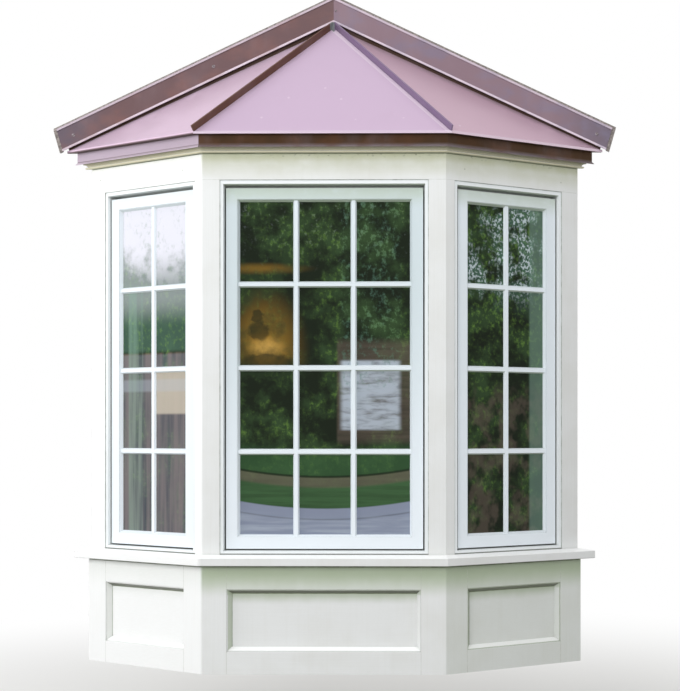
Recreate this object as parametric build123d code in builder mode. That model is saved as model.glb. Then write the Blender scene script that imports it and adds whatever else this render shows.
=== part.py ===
from build123d import *
import os
from math import atan2, cos, degrees, hypot, radians, sin, tan

os.makedirs("parts", exist_ok=True)

# A canted bay window that hangs on a wall: a panelled apron, a sill, three fixed windows, a frieze,
# and a sheet metal hip roof under a rake flashing. Sizes in mm. X runs along the wall, the wall's
# face is the plane Y = 0 with the bay on the -Y side, and Z is up. The origin is the middle of the
# back face of the ledger under the seat. "Offset" is the distance outside the apron's face.

# Plan
splay = 30.0
projection = 293.0
half_width = 955.0

# Wall layers, as offsets from the apron's face
board_thickness = 19.0
panel_thickness = 9.0
casing_setback = 6.0
frame_setback = 9.0
sash_setback = 21.0
frame_depth = 61.0

# Apron
apron_height = 397.0
apron_stile_width = 92.0
apron_corner_stile_width = 88.0
apron_bottom_rail = 82.0
apron_top_rail = 87.0
apron_moulding_width = 16.0
apron_moulding_reveal = 4.0
soffit_thickness = 12.0

# Sill and seat
sill_projection = 28.0
sill_nose_height = 29.0
sill_slope_rise = 10.0
sill_nose_radius = 3.0
drip_groove_width = 6.0
drip_groove_depth = 4.0
drip_groove_inset = 9.0
seat_board_thickness = 28.0

# Windows
window_height = 1372.0
front_casing = 63.5
flank_corner_casing = 36.0
flank_wall_casing = 71.5
frame_side_thickness = 15.4
frame_head_thickness = 18.0
frame_sill_thickness = 15.0
frame_bevel_width = 3.0
frame_bevel_depth = 10.0
sash_gap = 5.5
sash_head_gap = 10.5
stop_lap = 6.0
sash_thickness = 35.0
sash_member = 49.0
sash_bottom_rail = 52.0
glass_recess = 13.0
glass_thickness = 16.0
glass_bite = 9.0
glass_clearance = 0.3
bead_angle = 32.0
bead_quirk = 2.0
muntin_width = 22.5
muntin_height = 7.5
inner_muntin_height = 5.0
muntin_spread = 8.5
lite_rows = 4
front_lite_columns = 3
flank_lite_columns = 2

# Frieze, bed moulding and fascia
head_board_thickness = 28.0
frieze_height = 158.0
fascia_height = 45.0
fascia_board_projection = 20.0
bed_moulding_height = 21.0
bed_bead_height = 8.0
bed_bead_set = 3.0
bed_cove_radius = 9.0
bed_cove_set = 2.0
fascia_metal_thickness = 2.0
fascia_hem_height = 8.0
fascia_hem_kick = 4.0

# Roof
front_eave_projection = 34.0
flank_eave_projection = 40.0
eave_plate_thickness = 9.0
roof_rise = 478.0
deck_inset = 15.0
pan_thickness = 2.0
pan_lip_height = 8.0
pan_seam_clearance = 0.1
seam_height = 25.0
seam_thickness = 6.0
seam_clearance = 0.5
solder_width = 15.0
solder_point = 5.5
rafter_width = 60.0
upstand_height = 45.0
upstand_thickness = 3.0

# Rake flashing on the wall
flashing_height = 87.0
flashing_foot_clearance = 3.0
flashing_peak_clearance = 12.0
flashing_overrun = 16.0
flashing_end_lean = 16.0
flashing_standoff = 12.0
flashing_thickness = 2.0
flashing_hem = 7.5
flashing_hem_proud = 3.0
sealant_height = 12.0
sealant_width = 10.0
sealant_hollow = 2.5
sealant_end_width = 14.0

# Ledgers
ledger_height = 140.0
base_ledger_height = 89.0
ledger_depth = 38.0

# Derived levels, measured up from the origin
seat_underside = ledger_height / 2
seat_level = seat_underside + seat_board_thickness
sill_underside = seat_level - sill_nose_height - sill_slope_rise
base_level = sill_underside - apron_height
head_level = seat_level + window_height
frieze_top = head_level + frieze_height
fascia_bottom = frieze_top - fascia_height
eave_level = frieze_top + eave_plate_thickness
apex_level = eave_level + roof_rise
cornice_step = fascia_bottom + fascia_hem_kick

# Derived plan
turn = radians(splay)
front_half = half_width - projection / tan(turn)
flank_length = projection / sin(turn)
structure_face = -(board_thickness + panel_thickness)
frame_back = -frame_setback - frame_depth
run_x = cos(turn)
run_y = sin(turn)


def corner_x(offset):
    """Half the front's width at an offset, measured to the mitred corner."""
    return front_half + offset * tan(turn / 2)


def wall_x(offset):
    """Half the bay's width where an offset flank meets the wall."""
    return half_width + offset / sin(turn)


def flank_point(along, offset):
    """Plan point on the right flank: along it from the front corner, and out from its face."""
    x = front_half + along * run_x + offset * run_y
    y = -projection + along * run_y - offset * run_x
    return x, y


def outline(offset):
    """The bay's whole plan at an offset, closed along the wall."""
    Polygon(
        (-wall_x(offset), 0),
        (-corner_x(offset), -projection - offset),
        (corner_x(offset), -projection - offset),
        (wall_x(offset), 0),
        align=None,
    )


def front_strip(inner, outer):
    """Plan of a board across the front, mitred at both corners."""
    Polygon(
        (-corner_x(inner), -projection - inner),
        (-corner_x(outer), -projection - outer),
        (corner_x(outer), -projection - outer),
        (corner_x(inner), -projection - inner),
        align=None,
    )


def flank_strip(inner, outer):
    """Plan of a board along the right flank, mitred at the corner and cut flush at the wall."""
    Polygon(
        (corner_x(inner), -projection - inner),
        (corner_x(outer), -projection - outer),
        (wall_x(outer), 0),
        (wall_x(inner), 0),
        align=None,
    )


def strip(place, inner, outer):
    """Plan of a board on the front or on the right flank."""
    if place == "front":
        front_strip(inner, outer)
    else:
        flank_strip(inner, outer)


def face_plane(place, offset):
    """Elevation plane at an offset: X along the face, Y up, Z outwards."""
    if place == "front":
        return Plane(origin=(0, -projection - offset, 0), x_dir=(1, 0, 0), z_dir=(0, -1, 0))
    x, y = flank_point(0, offset)
    return Plane(origin=(x, y, 0), x_dir=(run_x, run_y, 0), z_dir=(run_y, -run_x, 0))


def section_plane(place):
    """Plane across a run, at the front's middle or at the right corner: X outwards, Y up."""
    if place == "front":
        return Plane(origin=(0, -projection, 0), x_dir=(0, -1, 0), z_dir=(-1, 0, 0))
    return Plane(origin=(front_half, -projection, 0), x_dir=(run_y, -run_x, 0), z_dir=(-run_x, -run_y, 0))


mitre = Plane(origin=(front_half, -projection, 0), z_dir=(cos(turn / 2), sin(turn / 2), 0))
mitre_left = Plane(origin=(-front_half, -projection, 0), z_dir=(-cos(turn / 2), sin(turn / 2), 0))
wall_face = Plane.XZ
run_reach = 2 * half_width


def save(piece, label):
    """Label a finished piece and write it."""
    piece.part.label = label
    export_step(piece.part, f"parts/{label}.step")


def save_pair(piece, label):
    """Write a right-hand piece and its mirror image on the left."""
    save(piece, f"{label}_right")
    with BuildPart() as twin:
        mirror(piece.part, about=Plane.YZ)
    save(twin, f"{label}_left")


def save_place(piece, label, place):
    """Write a front piece once, and a flank piece as a right and left pair."""
    if place == "front":
        save(piece, f"{label}_front")
    else:
        save_pair(piece, label)


def trim_run(place):
    """Cut a run at its mitres, or at its mitre and the wall, inside the open part."""
    if place == "front":
        split(bisect_by=mitre, keep=Keep.BOTTOM)
        split(bisect_by=mitre_left, keep=Keep.BOTTOM)
    else:
        split(bisect_by=mitre, keep=Keep.TOP)
        split(bisect_by=wall_face, keep=Keep.TOP)


def both_flanks(place):
    """After a flank piece in a shared node, add its mirror image before the front is drawn."""
    if place == "flank":
        mirror(about=Plane.YZ)


# Apron: the panel opening's span along each face
panel_low = base_level + apron_bottom_rail
panel_height = apron_height - apron_bottom_rail - apron_top_rail
panel_middle = panel_low + panel_height / 2
apron_middle = base_level + apron_height / 2
panel_centre = {"front": 0.0, "flank": (apron_corner_stile_width + flank_length - apron_stile_width) / 2}
panel_width = {
    "front": 2 * (front_half - apron_stile_width),
    "flank": flank_length - apron_corner_stile_width - apron_stile_width,
}

for place in ("front", "flank"):
    # Stiles, full height at both ends of the face
    with BuildPart() as stiles:
        with BuildSketch(Plane.XY.offset(base_level)):
            strip(place, -board_thickness, 0)
        extrude(amount=apron_height)
        with BuildSketch(face_plane(place, board_thickness)):
            with Locations((panel_centre[place], apron_middle)):
                Rectangle(panel_width[place], 2 * apron_height)
        extrude(amount=-3 * board_thickness, mode=Mode.SUBTRACT)
    save_place(stiles, "apron_stiles", place)

    # Plywood panel behind the stiles and rails
    with BuildPart() as panel:
        with BuildSketch(Plane.XY.offset(base_level)):
            strip(place, structure_face, -board_thickness)
        extrude(amount=apron_height)
    save_place(panel, "apron_panel", place)

    # Sill: flat seat under the window, weathered top, nosing with a drip groove
    with BuildPart() as sill:
        with BuildSketch(section_plane(place)):
            with BuildLine():
                Polyline(
                    (structure_face, sill_underside),
                    (sill_projection, sill_underside),
                    (sill_projection, sill_underside + sill_nose_height),
                    (-casing_setback, seat_level),
                    (structure_face, seat_level),
                    close=True,
                )
            make_face()
            fillet(vertices().group_by(Axis.X)[-1], sill_nose_radius)
            with Locations((sill_projection - drip_groove_inset, sill_underside)):
                Rectangle(drip_groove_width, 2 * drip_groove_depth, mode=Mode.SUBTRACT)
        extrude(amount=run_reach, both=True)
        trim_run(place)
    save_place(sill, "sill", place)

# Rails, butted between the stiles on all three faces
with BuildPart() as rails:
    for place in ("flank", "front"):
        with BuildSketch(face_plane(place, 0)):
            with Locations((panel_centre[place], base_level + apron_bottom_rail / 2)):
                Rectangle(panel_width[place], apron_bottom_rail)
            with Locations((panel_centre[place], sill_underside - apron_top_rail / 2)):
                Rectangle(panel_width[place], apron_top_rail)
        extrude(amount=-board_thickness)
        both_flanks(place)
save(rails, "apron_rails")

# Bevelled moulding round the inside of each panel opening
moulding_height = board_thickness - apron_moulding_reveal
moulding_bevel = apron_moulding_width - apron_moulding_reveal
moulding_angle = degrees(atan2(moulding_bevel, moulding_height))
with BuildPart() as mouldings:
    for place in ("flank", "front"):
        inner_width = panel_width[place] - 2 * apron_moulding_width
        inner_height = panel_height - 2 * apron_moulding_width
        with BuildSketch(face_plane(place, -board_thickness)):
            with Locations((panel_centre[place], panel_middle)):
                Rectangle(panel_width[place], panel_height)
        extrude(amount=moulding_height)
        with BuildSketch(face_plane(place, -board_thickness)):
            with Locations((panel_centre[place], panel_middle)):
                Rectangle(inner_width, inner_height)
        extrude(amount=moulding_height, taper=-moulding_angle, mode=Mode.SUBTRACT)
        both_flanks(place)
save(mouldings, "apron_mouldings")

# Soffit, seat and head boards fill the plan inside the facings
with BuildPart() as soffit_board:
    with BuildSketch(Plane.XY.offset(base_level)):
        outline(structure_face)
    extrude(amount=soffit_thickness)
save(soffit_board, "soffit_board")

with BuildPart() as seat_board:
    with BuildSketch(Plane.XY.offset(seat_underside)):
        outline(structure_face)
    extrude(amount=seat_board_thickness)
save(seat_board, "seat_board")

with BuildPart() as head_board:
    with BuildSketch(Plane.XY.offset(head_level)):
        outline(structure_face)
    extrude(amount=head_board_thickness)
save(head_board, "head_board")

# Windows: each has its place, its middle along that face, its width and its columns of lites
flank_window_start = flank_corner_casing + casing_setback * tan(turn / 2)
flank_window_end = (projection - casing_setback * run_x) / run_y - flank_wall_casing
flank_window_width = flank_window_end - flank_window_start
flank_window_centre = (flank_window_start + flank_window_end) / 2
front_window_width = 2 * (corner_x(-casing_setback) - front_casing)
flank_window = ("flank", flank_window_centre, flank_window_width, flank_lite_columns)
front_window = ("front", 0.0, front_window_width, front_lite_columns)
windows = (flank_window, front_window)
window_middle = seat_level + window_height / 2
opening_middle = window_middle + (frame_sill_thickness - frame_head_thickness) / 2
opening_height = window_height - frame_head_thickness - frame_sill_thickness
sash_middle = opening_middle + (sash_gap - sash_head_gap) / 2
sash_height = opening_height - sash_gap - sash_head_gap
daylight_middle = sash_middle + (sash_bottom_rail - sash_member) / 2
daylight_height = sash_height - sash_member - sash_bottom_rail
frame_bevel_angle = degrees(atan2(frame_bevel_width, frame_bevel_depth))
glass_offset = -sash_setback - glass_recess
bead_height = glass_recess - bead_quirk
bead_reach = bead_height * tan(radians(bead_angle)) + bead_quirk
glass_lap = glass_bite - glass_clearance
daylight_inset = frame_side_thickness + sash_gap + sash_member

for place, centre, width, columns in windows:
    middle = (centre, window_middle)
    opening_centre = (centre, opening_middle)
    sash_centre = (centre, sash_middle)
    daylight_centre = (centre, daylight_middle)
    opening_width = width - 2 * frame_side_thickness
    sash_width = opening_width - 2 * sash_gap
    daylight_width = width - 2 * daylight_inset

    # Frame: rebated for the sash, which bears on the stop behind it, with a bevelled outer edge.
    # Its back is trimmed where it reaches the wall.
    with BuildPart() as frame:
        with BuildSketch(face_plane(place, -frame_setback)):
            with Locations(middle):
                Rectangle(width, window_height)
            with Locations(sash_centre):
                Rectangle(sash_width - 2 * stop_lap, sash_height - 2 * stop_lap, mode=Mode.SUBTRACT)
        extrude(amount=-frame_depth)
        with BuildSketch(face_plane(place, -sash_setback - sash_thickness)):
            with Locations(opening_centre):
                Rectangle(opening_width, opening_height)
        extrude(amount=sash_setback + sash_thickness, mode=Mode.SUBTRACT)
        with BuildSketch(face_plane(place, -frame_setback - frame_bevel_depth)):
            with Locations(opening_centre):
                Rectangle(opening_width, opening_height)
        extrude(amount=frame_bevel_depth, taper=-frame_bevel_angle, mode=Mode.SUBTRACT)
        split(bisect_by=wall_face, keep=Keep.TOP)
    save_place(frame, "window_frame", place)

    # Sash: a quirk and a bevelled bead round the glass outside, and a groove that holds it
    with BuildPart() as sash:
        with BuildSketch(face_plane(place, -sash_setback)):
            with Locations(sash_centre):
                Rectangle(sash_width, sash_height)
            with Locations(daylight_centre):
                Rectangle(daylight_width, daylight_height, mode=Mode.SUBTRACT)
        extrude(amount=-sash_thickness)
        with BuildSketch(face_plane(place, glass_offset)):
            with Locations(daylight_centre):
                Rectangle(daylight_width, daylight_height)
        extrude(amount=bead_height, taper=-bead_angle, mode=Mode.SUBTRACT)
        with BuildSketch(face_plane(place, -sash_setback)):
            with Locations(daylight_centre):
                Rectangle(daylight_width + 2 * bead_reach, daylight_height + 2 * bead_reach)
        extrude(amount=-bead_quirk, mode=Mode.SUBTRACT)
        with BuildSketch(face_plane(place, glass_offset)):
            with Locations(daylight_centre):
                Rectangle(daylight_width + 2 * glass_bite, daylight_height + 2 * glass_bite)
        extrude(amount=-glass_thickness, mode=Mode.SUBTRACT)
    save_place(sash, "sash", place)

    # Casing boards on both sides of the window
    with BuildPart() as casing:
        with BuildSketch(Plane.XY.offset(seat_level)):
            strip(place, structure_face, -casing_setback)
        extrude(amount=window_height)
        with BuildSketch(face_plane(place, 0)):
            with Locations(middle):
                Rectangle(width, 2 * window_height)
        extrude(amount=2 * structure_face, mode=Mode.SUBTRACT)
    save_place(casing, "casing", place)

# Sealed glass units in the sashes' grooves
with BuildPart() as glass:
    for place, centre, width, columns in windows:
        with BuildSketch(face_plane(place, glass_offset)):
            with Locations((centre, daylight_middle)):
                Rectangle(width - 2 * (daylight_inset - glass_lap), daylight_height + 2 * glass_lap)
        extrude(amount=-glass_thickness)
        both_flanks(place)
save(glass, "glass")

# Muntin grilles on both faces of the glass, bevelled outside like the sash. They are spaced over a
# little more than the daylight, so that the outer panes are the wider ones.
with BuildPart() as grilles:
    for place, centre, width, columns in windows:
        middle = (centre, daylight_middle)
        daylight_width = width - 2 * daylight_inset
        column_pitch = (daylight_width + muntin_spread) / columns
        row_pitch = (daylight_height + muntin_spread) / lite_rows
        with BuildSketch(face_plane(place, glass_offset)):
            with Locations(middle):
                Rectangle(daylight_width, daylight_height)
        extrude(amount=muntin_height, taper=-bead_angle)
        with BuildSketch(face_plane(place, glass_offset)):
            with Locations(middle):
                Rectangle(daylight_width, daylight_height)
                with GridLocations(column_pitch, 0, columns - 1, 1):
                    Rectangle(muntin_width, daylight_height, mode=Mode.SUBTRACT)
                with GridLocations(0, row_pitch, 1, lite_rows - 1):
                    Rectangle(daylight_width, muntin_width, mode=Mode.SUBTRACT)
        extrude(amount=muntin_height, taper=-bead_angle, mode=Mode.SUBTRACT)
        with BuildSketch(face_plane(place, glass_offset - glass_thickness)):
            with Locations(middle):
                with GridLocations(column_pitch, 0, columns - 1, 1):
                    Rectangle(muntin_width, daylight_height)
                with GridLocations(0, row_pitch, 1, lite_rows - 1):
                    Rectangle(daylight_width, muntin_width)
        extrude(amount=-inner_muntin_height)
        both_flanks(place)
save(grilles, "grilles")

cornice_low = cornice_step - bed_moulding_height
bead_top = cornice_low + bed_bead_height
cove_top = bead_top + bed_cove_radius
cove_out = bed_cove_set + bed_cove_radius
metal_outer = fascia_board_projection + fascia_metal_thickness
hem_outer = metal_outer + fascia_hem_kick

for place in ("front", "flank"):
    # Frieze board over the window
    with BuildPart() as frieze:
        with BuildSketch(Plane.XY.offset(head_level)):
            strip(place, structure_face, -casing_setback)
        extrude(amount=frieze_height)
    save_place(frieze, "frieze", place)

    # Cornice: a bed moulding of a bead under a cove, with the fascia board above it
    with BuildPart() as cornice:
        with BuildSketch(section_plane(place)):
            with BuildLine():
                ThreePointArc(
                    (bed_bead_set, cornice_low),
                    (bed_bead_set + bed_bead_height / 2, cornice_low + bed_bead_height / 2),
                    (bed_bead_set, bead_top),
                )
                Line((bed_bead_set, bead_top), (bed_cove_set, bead_top))
                RadiusArc((bed_cove_set, bead_top), (cove_out, cove_top), bed_cove_radius)
                Polyline(
                    (cove_out, cove_top),
                    (cove_out, cornice_step),
                    (fascia_board_projection, cornice_step),
                    (fascia_board_projection, frieze_top),
                    (-casing_setback, frieze_top),
                    (-casing_setback, cornice_low),
                    (bed_bead_set, cornice_low),
                )
            make_face()
        extrude(amount=run_reach, both=True)
        trim_run(place)
    save_place(cornice, "cornice", place)

    # Metal fascia flashing with a kicked drip hem
    with BuildPart() as fascia:
        with BuildSketch(section_plane(place)):
            with BuildLine():
                Polyline(
                    (fascia_board_projection, frieze_top),
                    (fascia_board_projection, fascia_bottom + fascia_hem_height),
                    (fascia_board_projection + fascia_hem_kick, fascia_bottom),
                    (hem_outer, fascia_bottom),
                    (hem_outer, fascia_bottom + fascia_metal_thickness),
                    (metal_outer, fascia_bottom + fascia_hem_height),
                    (metal_outer, frieze_top),
                    close=True,
                )
            make_face()
        extrude(amount=run_reach, both=True)
        trim_run(place)
    save_place(fascia, "fascia_flashing", place)


# Posts between the windows and at the wall, above the seat and below it
wall_post_offset = (flank_window_end * run_y - projection) / run_x


def post_plans():
    """Plans of the right-hand corner post and of the tapered post at the wall."""
    Polygon(
        (front_window_width / 2, -projection - structure_face),
        (corner_x(structure_face), -projection - structure_face),
        flank_point(flank_window_start, structure_face),
        flank_point(flank_window_start, frame_back),
        (corner_x(frame_back), -projection - frame_back),
        (front_window_width / 2, -projection - frame_back),
        align=None,
    )
    Polygon(
        flank_point(flank_window_end, structure_face),
        (wall_x(structure_face), 0),
        flank_point(flank_window_end, wall_post_offset),
        align=None,
    )


with BuildPart() as posts:
    with BuildSketch(Plane.XY.offset(seat_level)):
        post_plans()
    extrude(amount=window_height)
    with BuildSketch(Plane.XY.offset(base_level + soffit_thickness)):
        post_plans()
    extrude(amount=seat_underside - base_level - soffit_thickness)
    mirror(about=Plane.YZ)
save(posts, "posts")

# Ledgers along the wall: on the soffit, under the seat, and over the head
ledger_half_length = wall_x(structure_face) - ledger_depth / tan(turn)
head_ledger_height = frieze_top - head_level - head_board_thickness
base_ledger_middle = base_level + soffit_thickness + base_ledger_height / 2
head_ledger_middle = frieze_top - head_ledger_height / 2
with BuildPart() as ledgers:
    with BuildSketch(Plane.XZ):
        Rectangle(2 * ledger_half_length, ledger_height)
        with Locations((0, base_ledger_middle)):
            Rectangle(2 * ledger_half_length, base_ledger_height)
        with Locations((0, head_ledger_middle)):
            Rectangle(2 * ledger_half_length, head_ledger_height)
    extrude(amount=ledger_depth)
save(ledgers, "ledgers")

# Roof: its edge on plan, its slopes and its rakes
eave_depth = projection + front_eave_projection
eave_end = wall_x(flank_eave_projection)
eave_half = eave_end - eave_depth / tan(turn)
flank_run = eave_end * run_y
slope_angle = {"front": atan2(roof_rise, eave_depth), "flank": atan2(roof_rise, flank_run)}
slope_length = {"front": hypot(roof_rise, eave_depth), "flank": hypot(roof_rise, flank_run)}
flank_apex_x = eave_depth * run_y - eave_half * run_x
flank_eave_length = eave_depth / run_y
rake_angle = atan2(roof_rise, eave_end)
rake_length = hypot(roof_rise, eave_end)
inside_scale = 1 - deck_inset / eave_depth


def eave_outline(factor=1.0):
    """Plan of the roof's edge, closed along the wall, and scaled about the origin."""
    Polygon(
        (-factor * eave_end, 0),
        (-factor * eave_half, -factor * eave_depth),
        (factor * eave_half, -factor * eave_depth),
        (factor * eave_end, 0),
        align=None,
    )


def pan_lip(place):
    """Plan of a pan's lip, folded down over the edge of the eave plate."""
    lip_half = eave_half + pan_thickness * tan(turn / 2)
    lip_depth = eave_depth + pan_thickness
    if place == "front":
        Polygon(
            (-eave_half, -eave_depth),
            (-lip_half, -lip_depth),
            (lip_half, -lip_depth),
            (eave_half, -eave_depth),
            align=None,
        )
    else:
        Polygon(
            (eave_half, -eave_depth),
            (lip_half, -lip_depth),
            (eave_end + pan_thickness / run_y, 0),
            (eave_end, 0),
            align=None,
        )


with BuildPart() as eave_plate:
    with BuildSketch(Plane.XY.offset(frieze_top)):
        eave_outline()
    extrude(amount=eave_plate_thickness)
save(eave_plate, "eave_plate")

# Hollow deck: its inside is its outside scaled about the apex's foot
with BuildPart() as roof_void:
    with BuildSketch(Plane.XY.offset(eave_level)) as void_base:
        eave_outline(inside_scale)
    loft(sections=[void_base.sketch.face(), Vertex(0, 0, eave_level + roof_rise * inside_scale)])

with BuildPart() as roof_body:
    with BuildSketch(Plane.XY.offset(eave_level)) as body_base:
        eave_outline()
    loft(sections=[body_base.sketch.face(), Vertex(0, 0, apex_level)])

with BuildPart() as roof_deck:
    add(roof_body.part)
    add(roof_void.part, mode=Mode.SUBTRACT)
save(roof_deck, "roof_deck")

# Frame of wall rafters and a tie under the deck's back edge
with BuildPart() as rafter_frame:
    with BuildSketch(Plane.XZ):
        with BuildLine():
            Polyline(
                (-eave_end * inside_scale, eave_level),
                (0, eave_level + roof_rise * inside_scale),
                (eave_end * inside_scale, eave_level),
                close=True,
            )
        make_face()
        offset(amount=-rafter_width, kind=Kind.INTERSECTION, mode=Mode.SUBTRACT)
    extrude(amount=ledger_depth)
    add(roof_void.part, mode=Mode.INTERSECT)
save(rafter_frame, "rafter_frame")


def slope_plane(place):
    """Plane on top of the deck: X along the eave, Y up the slope, Z out of the roof."""
    lean = slope_angle[place]
    if place == "front":
        return Plane(origin=(0, -eave_depth, eave_level), x_dir=(1, 0, 0), z_dir=(0, -sin(lean), cos(lean)))
    normal = (run_y * sin(lean), -run_x * sin(lean), cos(lean))
    return Plane(origin=(eave_half, -eave_depth, eave_level), x_dir=(run_x, run_y, 0), z_dir=normal)


front_normal = slope_plane("front").z_dir
flank_normal = slope_plane("flank").z_dir
half_fold = radians(front_normal.get_angle(flank_normal)) / 2
pan_hip_gap = seam_thickness / 2 / cos(half_fold) + pan_thickness * tan(half_fold) + pan_seam_clearance


def front_pan_outline():
    """Front slope less the gap along both hips."""
    eave_angle = atan2(slope_length["front"], eave_half)
    side = eave_half - pan_hip_gap / sin(eave_angle)
    top = slope_length["front"] - pan_hip_gap / cos(eave_angle)
    Polygon((-side, 0), (side, 0), (0, top), align=None)


def flank_pan_outline():
    """Right slope less the gap along its hip, out to the wall."""
    top = Vector(flank_apex_x, slope_length["flank"])
    end = Vector(flank_eave_length, 0)
    hip = top.normalized()
    rake = (end - top).normalized()
    corner = Vector(pan_hip_gap / hip.Y, 0)
    tip = top + rake * (pan_hip_gap / abs(hip.X * rake.Y - hip.Y * rake.X))
    Polygon((corner.X, corner.Y), (end.X, end.Y), (tip.X, tip.Y), align=None)


# Rake on the wall: up the slope, square to it, and the pan's top across its section
uphill = Vector(-cos(rake_angle), 0, sin(rake_angle))
rake_square = Vector(sin(rake_angle), 0, cos(rake_angle))
rake_foot = Vector(eave_end, 0, eave_level)
pan_line = pan_thickness * cos(rake_angle) / cos(slope_angle["flank"])
pan_fall = -flank_normal.Y / flank_normal.dot(rake_square)

# The rake flashing's low edge climbs a little more steeply than the roof, and starts beyond its foot
foot_rise = pan_line + flashing_foot_clearance
flashing_foot = rake_foot - uphill * flashing_overrun + rake_square * foot_rise
flashing_peak = Vector(0, 0, apex_level + (pan_line + flashing_peak_clearance) / cos(rake_angle))
flashing_section = Plane(origin=flashing_foot, x_dir=(0, -1, 0), z_dir=flashing_peak - flashing_foot)
end_lean = radians(flashing_end_lean)
flashing_end = Plane(origin=flashing_foot, z_dir=(cos(end_lean), 0, -sin(end_lean)))
flashing_back = flashing_standoff + flashing_thickness
flashing_front = flashing_back + flashing_hem_proud

# Standing seams along the hips, square to the roof. They run under the rake flashing, where a
# pointed stub of solder closes the peak between them.
hip_start = Vector(eave_half, -eave_depth, eave_level)
hip = Vector(0, 0, apex_level) - hip_start
seam_up = (front_normal + flank_normal).normalized()
seam_plane = Plane(origin=hip_start, x_dir=hip, z_dir=hip.cross(seam_up))
solder_back = upstand_thickness + seam_clearance
solder_front = flashing_front + seam_clearance
with BuildPart() as seams:
    with BuildSketch(seam_plane):
        Rectangle(hip.length, seam_height, align=(Align.MIN, Align.MIN))
    extrude(amount=seam_thickness / 2, both=True)
    split(bisect_by=Plane.XZ.offset(solder_back), keep=Keep.TOP)
    with BuildSketch(Plane.XY.offset(flashing_peak.Z)):
        Polygon(
            (0, -solder_front),
            (solder_width / 2, solder_point - solder_front),
            (solder_width / 2, -solder_back),
            (0, -solder_back),
            align=None,
        )
    extrude(amount=-roof_rise)
    with BuildSketch(Plane.XZ):
        Polygon(
            (0, flashing_peak.Z - seam_clearance),
            (flashing_foot.X, flashing_foot.Z - seam_clearance),
            (flashing_foot.X, flashing_peak.Z + seam_height),
            (0, flashing_peak.Z + seam_height),
            align=None,
        )
    extrude(amount=solder_front, mode=Mode.SUBTRACT)
    add(roof_body.part, mode=Mode.SUBTRACT)
    split(bisect_by=Plane.YZ, keep=Keep.TOP)
    mirror(about=Plane.YZ)
save(seams, "hip_seams")

# Pans: flat sheets on the slopes with a lip over the edge of the eave plate. The front one ends at
# the solder's back, the side ones at the wall.
pan_back = {"front": Plane.XZ.offset(solder_back), "flank": wall_face}
for place in ("front", "flank"):
    with BuildPart() as pan:
        with BuildSketch(slope_plane(place)):
            if place == "front":
                front_pan_outline()
            else:
                flank_pan_outline()
        extrude(amount=pan_thickness)
        with BuildSketch(Plane.XY.offset(eave_level - pan_lip_height)):
            pan_lip(place)
        extrude(amount=pan_lip_height + pan_thickness * cos(slope_angle[place]))
        split(bisect_by=pan_back[place], keep=Keep.TOP)
        add(seams.part, mode=Mode.SUBTRACT)
    save_place(pan, "roof_pan", place)

# Upstands of the side pans against the wall, their feet sloped to seat on the pans. They start
# where the eave passes their front face.
upstand_foot = rake_foot + uphill * (upstand_thickness / tan(turn) / cos(rake_angle))
with BuildPart() as upstands:
    with BuildSketch(Plane(origin=upstand_foot, x_dir=(0, -1, 0), z_dir=uphill)):
        Polygon(
            (0, pan_line),
            (upstand_thickness, pan_line - upstand_thickness * pan_fall),
            (upstand_thickness, pan_line + upstand_height),
            (0, pan_line + upstand_height),
            align=None,
        )
    extrude(amount=2 * rake_length)
    split(bisect_by=Plane.YZ, keep=Keep.TOP)
    mirror(about=Plane.YZ)
save(upstands, "wall_upstands")

with BuildPart() as flashing:
    with BuildSketch(flashing_section):
        with BuildLine():
            Polyline(
                (flashing_standoff, 0),
                (flashing_front, 0),
                (flashing_front, flashing_hem),
                (flashing_back, flashing_hem),
                (flashing_back, flashing_height - flashing_hem),
                (flashing_front, flashing_height - flashing_hem),
                (flashing_front, flashing_height),
                (0, flashing_height),
                (0, flashing_height - flashing_thickness),
                (flashing_standoff, flashing_height - flashing_thickness),
                close=True,
            )
        make_face()
    extrude(amount=2 * rake_length, both=True)
    split(bisect_by=flashing_end, keep=Keep.BOTTOM)
    split(bisect_by=Plane.YZ, keep=Keep.TOP)
save_pair(flashing, "rake_flashing")

# Sealant against the wall: a body that closes each end of the rake flashing, and a hollow fillet
# tooled along its top edge
sealant_top = flashing_height + sealant_height
with BuildPart() as sealant:
    with BuildSketch(flashing_section):
        Polygon(
            (0, 0),
            (sealant_width, 0),
            (sealant_width, flashing_height),
            (0, sealant_top),
            align=None,
        )
    extrude(amount=flashing_height, both=True)
    split(bisect_by=flashing_end, keep=Keep.TOP)
    with BuildSketch(flashing_section):
        with BuildLine():
            SagittaArc((0, sealant_top), (sealant_width, flashing_height), -sealant_hollow)
            Polyline((sealant_width, flashing_height), (0, flashing_height), (0, sealant_top))
        make_face()
    extrude(amount=2 * rake_length, both=True)
    split(bisect_by=flashing_end.offset(sealant_end_width), keep=Keep.BOTTOM)
    split(bisect_by=Plane.YZ, keep=Keep.TOP)
    mirror(about=Plane.YZ)
save(sealant, "wall_sealant")
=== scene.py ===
import math
from functools import partial

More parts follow.
